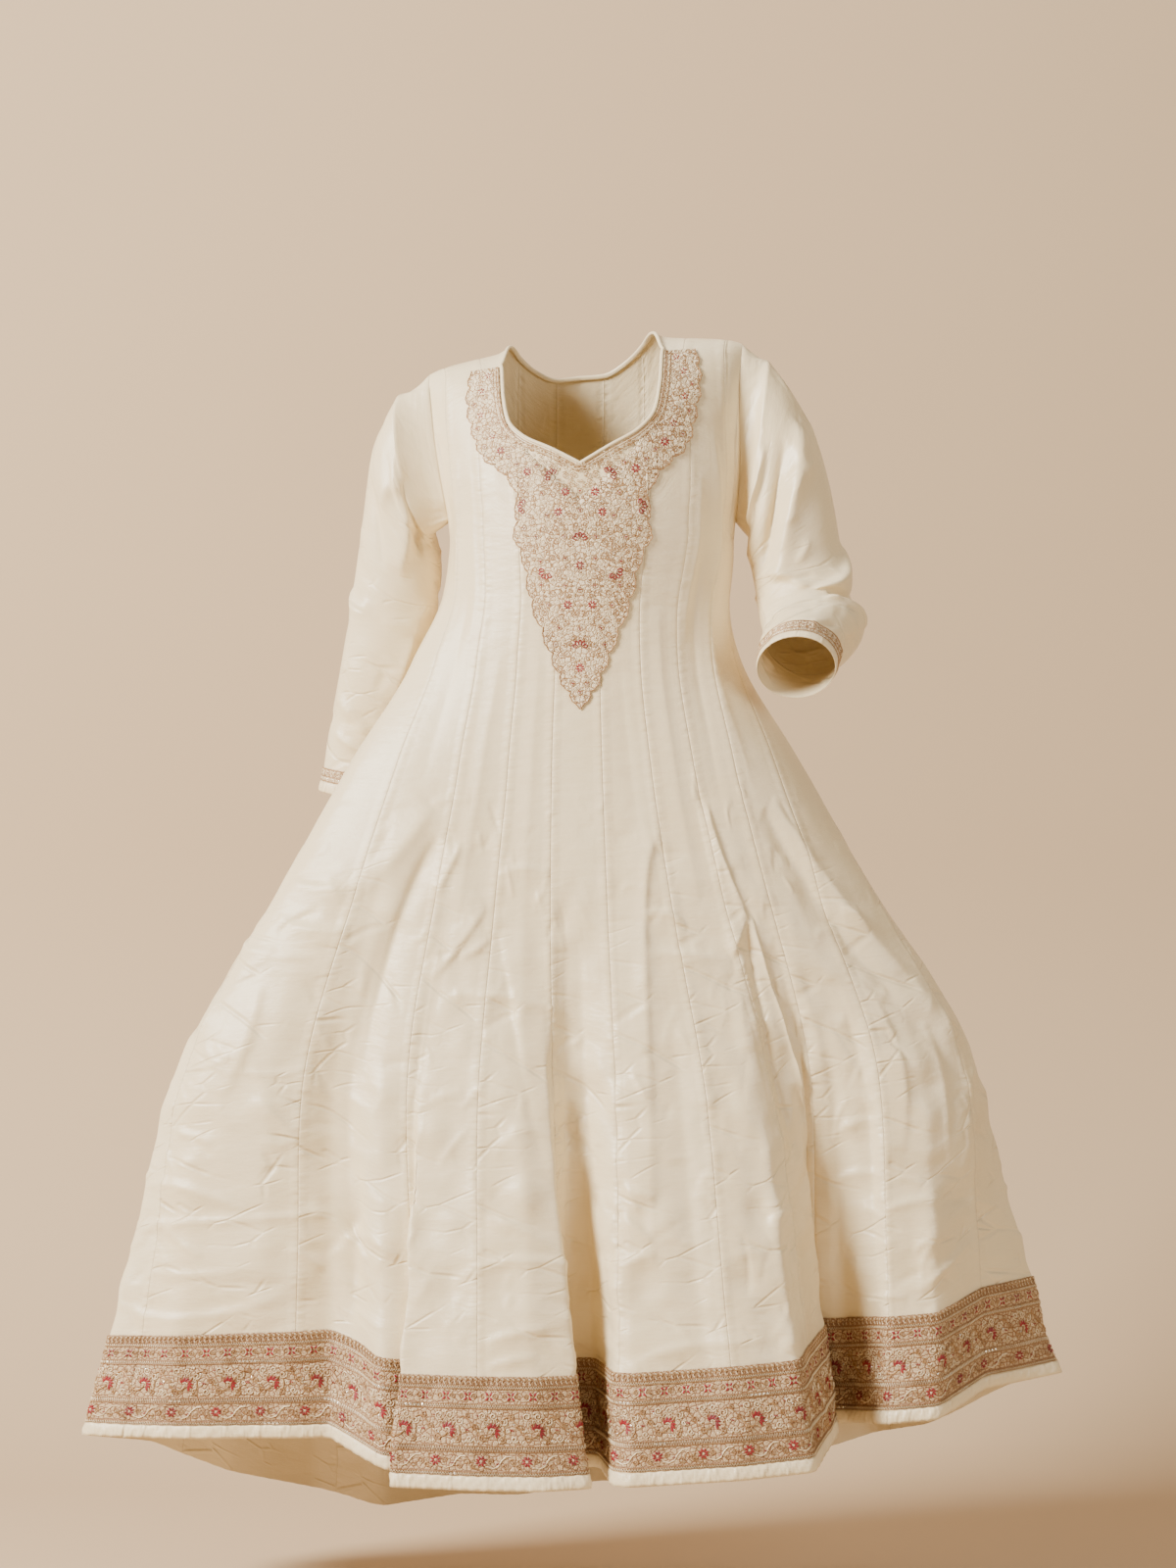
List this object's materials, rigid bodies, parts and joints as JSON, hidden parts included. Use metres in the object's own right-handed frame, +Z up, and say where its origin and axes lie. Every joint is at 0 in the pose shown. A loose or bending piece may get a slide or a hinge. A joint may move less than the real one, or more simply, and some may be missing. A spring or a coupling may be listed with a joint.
{
  "type": "anarkali gown",
  "caption": "Floor-length flared anarkali gown of ivory silk in full-length kalis, with an embroidered yoke, hem border and cuffs, worn shape.",
  "frame": {"origin": "middle of the neck opening, level with the shoulder seams, where a wearer's shoulders carry the gown", "axes": "+Z up, the gown's front faces -Y, +X is to the right seen from the front"},
  "size_m": [1.1513, 0.3994, 1.4037],
  "materials": {
    "silk": "satin",
    "zari_embroidery": "satin"
  },
  "bodies": {
    "root": {"kali_front_centre": "silk", "kali_front_inner_left": "silk", "kali_front_inner_right": "silk", "kali_front_middle_left": "silk", "kali_front_middle_right": "silk", "kali_front_outer_left": "silk", "kali_front_outer_right": "silk", "kali_front_side_left": "silk", "kali_front_side_right": "silk", "kali_back_inner_left": "silk", "kali_back_inner_right": "silk", "kali_back_middle_left": "silk", "kali_back_middle_right": "silk", "kali_back_outer_left": "silk", "kali_back_outer_right": "silk", "kali_back_side_left": "silk", "kali_back_side_right": "silk", "kali_back_centre": "silk", "sleeve_left": "silk", "sleeve_right": "silk", "hem_edge_front": "silk", "hem_edge_back": "silk", "cuff_edge_left": "silk", "cuff_edge_right": "silk", "neck_piping": "silk", "yoke": "zari_embroidery", "hem_border_front": "zari_embroidery", "hem_border_back": "zari_embroidery", "cuff_band_left": "zari_embroidery", "cuff_band_right": "zari_embroidery"}
  },
  "joints": []
}
